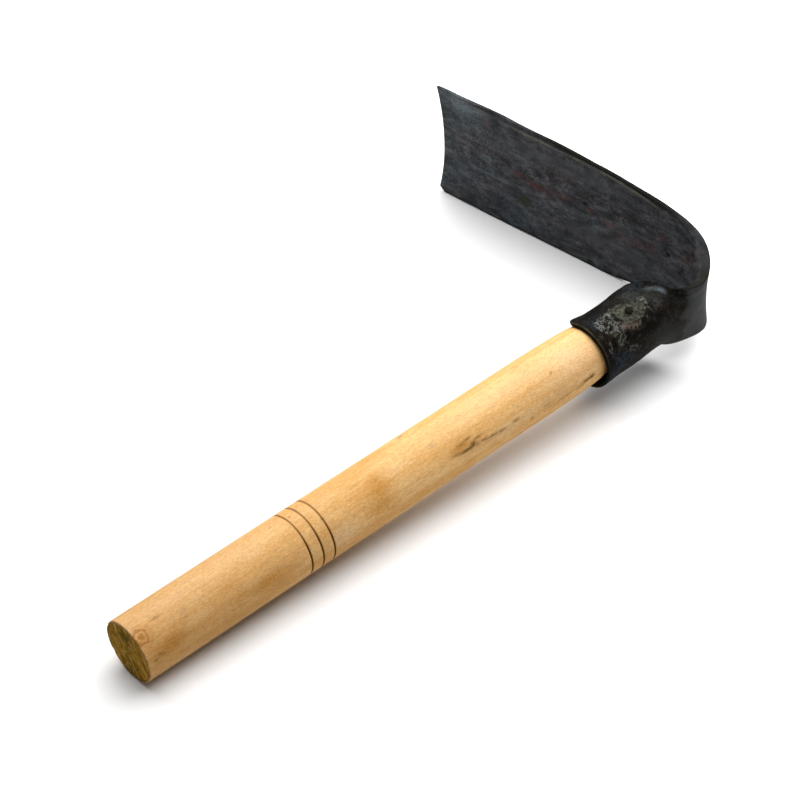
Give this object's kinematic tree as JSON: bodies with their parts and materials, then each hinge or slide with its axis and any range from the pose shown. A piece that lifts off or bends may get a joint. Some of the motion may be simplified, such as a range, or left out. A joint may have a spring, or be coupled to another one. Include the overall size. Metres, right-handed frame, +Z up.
{
  "type": "draw hoe",
  "caption": "Short-handled draw hoe lying on its side: round wooden handle with turned rings, in the rolled socket of a head forged from one plate.",
  "frame": {"origin": "on the floor, under the centre of the hoe's box as it lies on its side", "axes": "+X along the handle from its butt to the socket as seen from above, +Y towards the blade's cutting edge, +Z up"},
  "size_m": [0.3856, 0.2048, 0.0732],
  "materials": {
    "handle_wood": "bare, sanded, pale honey with knots and stains; rough sawn end grain",
    "forged_steel": "blue-grey forge scale with rust blotches and rubbed bright patches",
    "nail_steel": "dark scale"
  },
  "bodies": {
    "root": {"handle": "handle_wood", "hoe_head": "forged_steel", "socket_nail": "nail_steel"}
  },
  "joints": []
}
